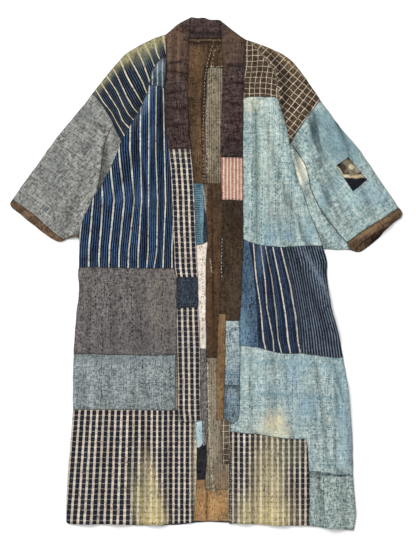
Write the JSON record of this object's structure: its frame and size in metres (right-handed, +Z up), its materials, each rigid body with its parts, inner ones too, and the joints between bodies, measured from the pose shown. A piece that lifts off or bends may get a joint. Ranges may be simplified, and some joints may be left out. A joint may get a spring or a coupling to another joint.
{
  "type": "patched boro coat laid flat",
  "caption": "Knee-length open-front patchwork coat of worn indigo and brown cottons, wide short sleeves and a long collar band, laid flat.",
  "frame": {"origin": "middle of the coat's outline, on the surface that it lies on", "axes": "+Y along the coat towards the neck, +X towards the wearer's left sleeve, +Z up from the surface through the open front"},
  "size_m": [0.9476, 1.2336, 0.0289],
  "materials": {
    "back_cloth": "plain dark indigo-brown cotton of the hidden back",
    "inner_brown": "brown cotton, inside of the back",
    "collar_brown": "brown-violet cotton, quilted by hand",
    "ink_black": "black cotton",
    "blue_patch": "bright blue cotton",
    "cream_cotton": "cream cotton with a row of stitches",
    "dark_umber": "dark umber cotton",
    "slate_cotton": "slate grey cotton with dark running stitches",
    "olive_grey": "olive grey striped cotton",
    "ice_blue": "pale ice blue cotton",
    "navy_patch": "plain navy cotton patch",
    "tan_cotton": "tan cotton",
    "pale_blue_patch": "light blue darned cotton",
    "pink_stripe": "faded pink striped cotton",
    "stitched_blue": "blue patch with a ring of stitches",
    "rust_cotton": "rust brown cotton binding",
    "brown_check": "brown cotton with a fine cream check",
    "fine_stripe": "navy and slate fine-striped cotton",
    "mid_blue": "mid blue cotton",
    "navy_stripe": "navy cotton with narrow cream stripes",
    "pale_blue_slub": "pale washed blue cotton, stitched in pleats",
    "washed_teal": "washed teal cotton, faded yellow in the middle",
    "navy_check": "navy cotton with cream stripes and fine cross lines",
    "sage_blue": "sage blue cotton",
    "pieced_patch": "black and cream pieced cotton",
    "grey_blue_slub": "washed grey-blue slub cotton",
    "indigo_stripe": "indigo cotton with wide cream and fine pale blue stripes",
    "pale_indigo_stripe": "washed indigo striped cotton",
    "grey_slub": "grey slub cotton, bare of shine",
    "indigo_stripe_shoulder": "dark indigo cotton with cream stripes, faded khaki at the shoulder fold"
  },
  "bodies": {
    "root": {"back_left": "back_cloth", "back_right": "back_cloth", "back_seam_fold": "inner_brown", "collar_left": "collar_brown", "collar_right": "collar_brown", "inner_black": "ink_black", "inner_blue": "blue_patch", "inner_brown_upper": "inner_brown", "inner_cream": "cream_cotton", "inner_dark_brown": "dark_umber", "inner_gray_brown": "slate_cotton", "inner_gray_stripe": "olive_grey", "inner_ice_blue": "ice_blue", "inner_navy_sliver": "navy_patch", "inner_olive_lower": "olive_grey", "inner_olive_top": "inner_brown", "inner_tan_hem": "tan_cotton", "left_band_brown": "dark_umber", "left_band_pale_blue": "pale_blue_patch", "left_band_pink": "pink_stripe", "left_band_stitched_patch": "stitched_blue", "left_cuff_back": "rust_cotton", "left_cuff_front": "rust_cotton", "left_edge_tan": "tan_cotton", "left_facing_check": "brown_check", "left_front_fine_stripe": "fine_stripe", "left_front_mid_blue": "mid_blue", "left_front_navy_stripe": "navy_stripe", "left_front_pale": "pale_blue_slub", "left_front_teal": "washed_teal", "left_gusset": "pale_blue_slub", "left_hem_check": "navy_check", "left_hem_corner": "sage_blue", "left_shoulder_back": "brown_check", "left_shoulder_check": "brown_check", "left_sleeve_back": "pale_blue_slub", "left_sleeve_front": "pale_blue_slub", "left_sleeve_patch": "pieced_patch", "neck_band": "collar_brown", "neck_piping": "tan_cotton", "right_band_check_lower": "navy_check", "right_band_check_upper": "navy_check", "right_band_navy_patch": "navy_patch", "right_cuff_back": "rust_cotton", "right_cuff_front": "rust_cotton", "right_edge_gray_strip": "slate_cotton", "right_front_blue_gray": "grey_blue_slub", "right_front_gray": "slate_cotton", "right_front_stripe": "indigo_stripe", "right_front_upper": "pale_indigo_stripe", "right_gusset": "grey_slub", "right_hem_check": "navy_check", "right_shoulder": "indigo_stripe_shoulder", "right_shoulder_back": "indigo_stripe_shoulder", "right_sleeve_back": "grey_slub", "right_sleeve_front": "grey_slub"}
  },
  "joints": []
}
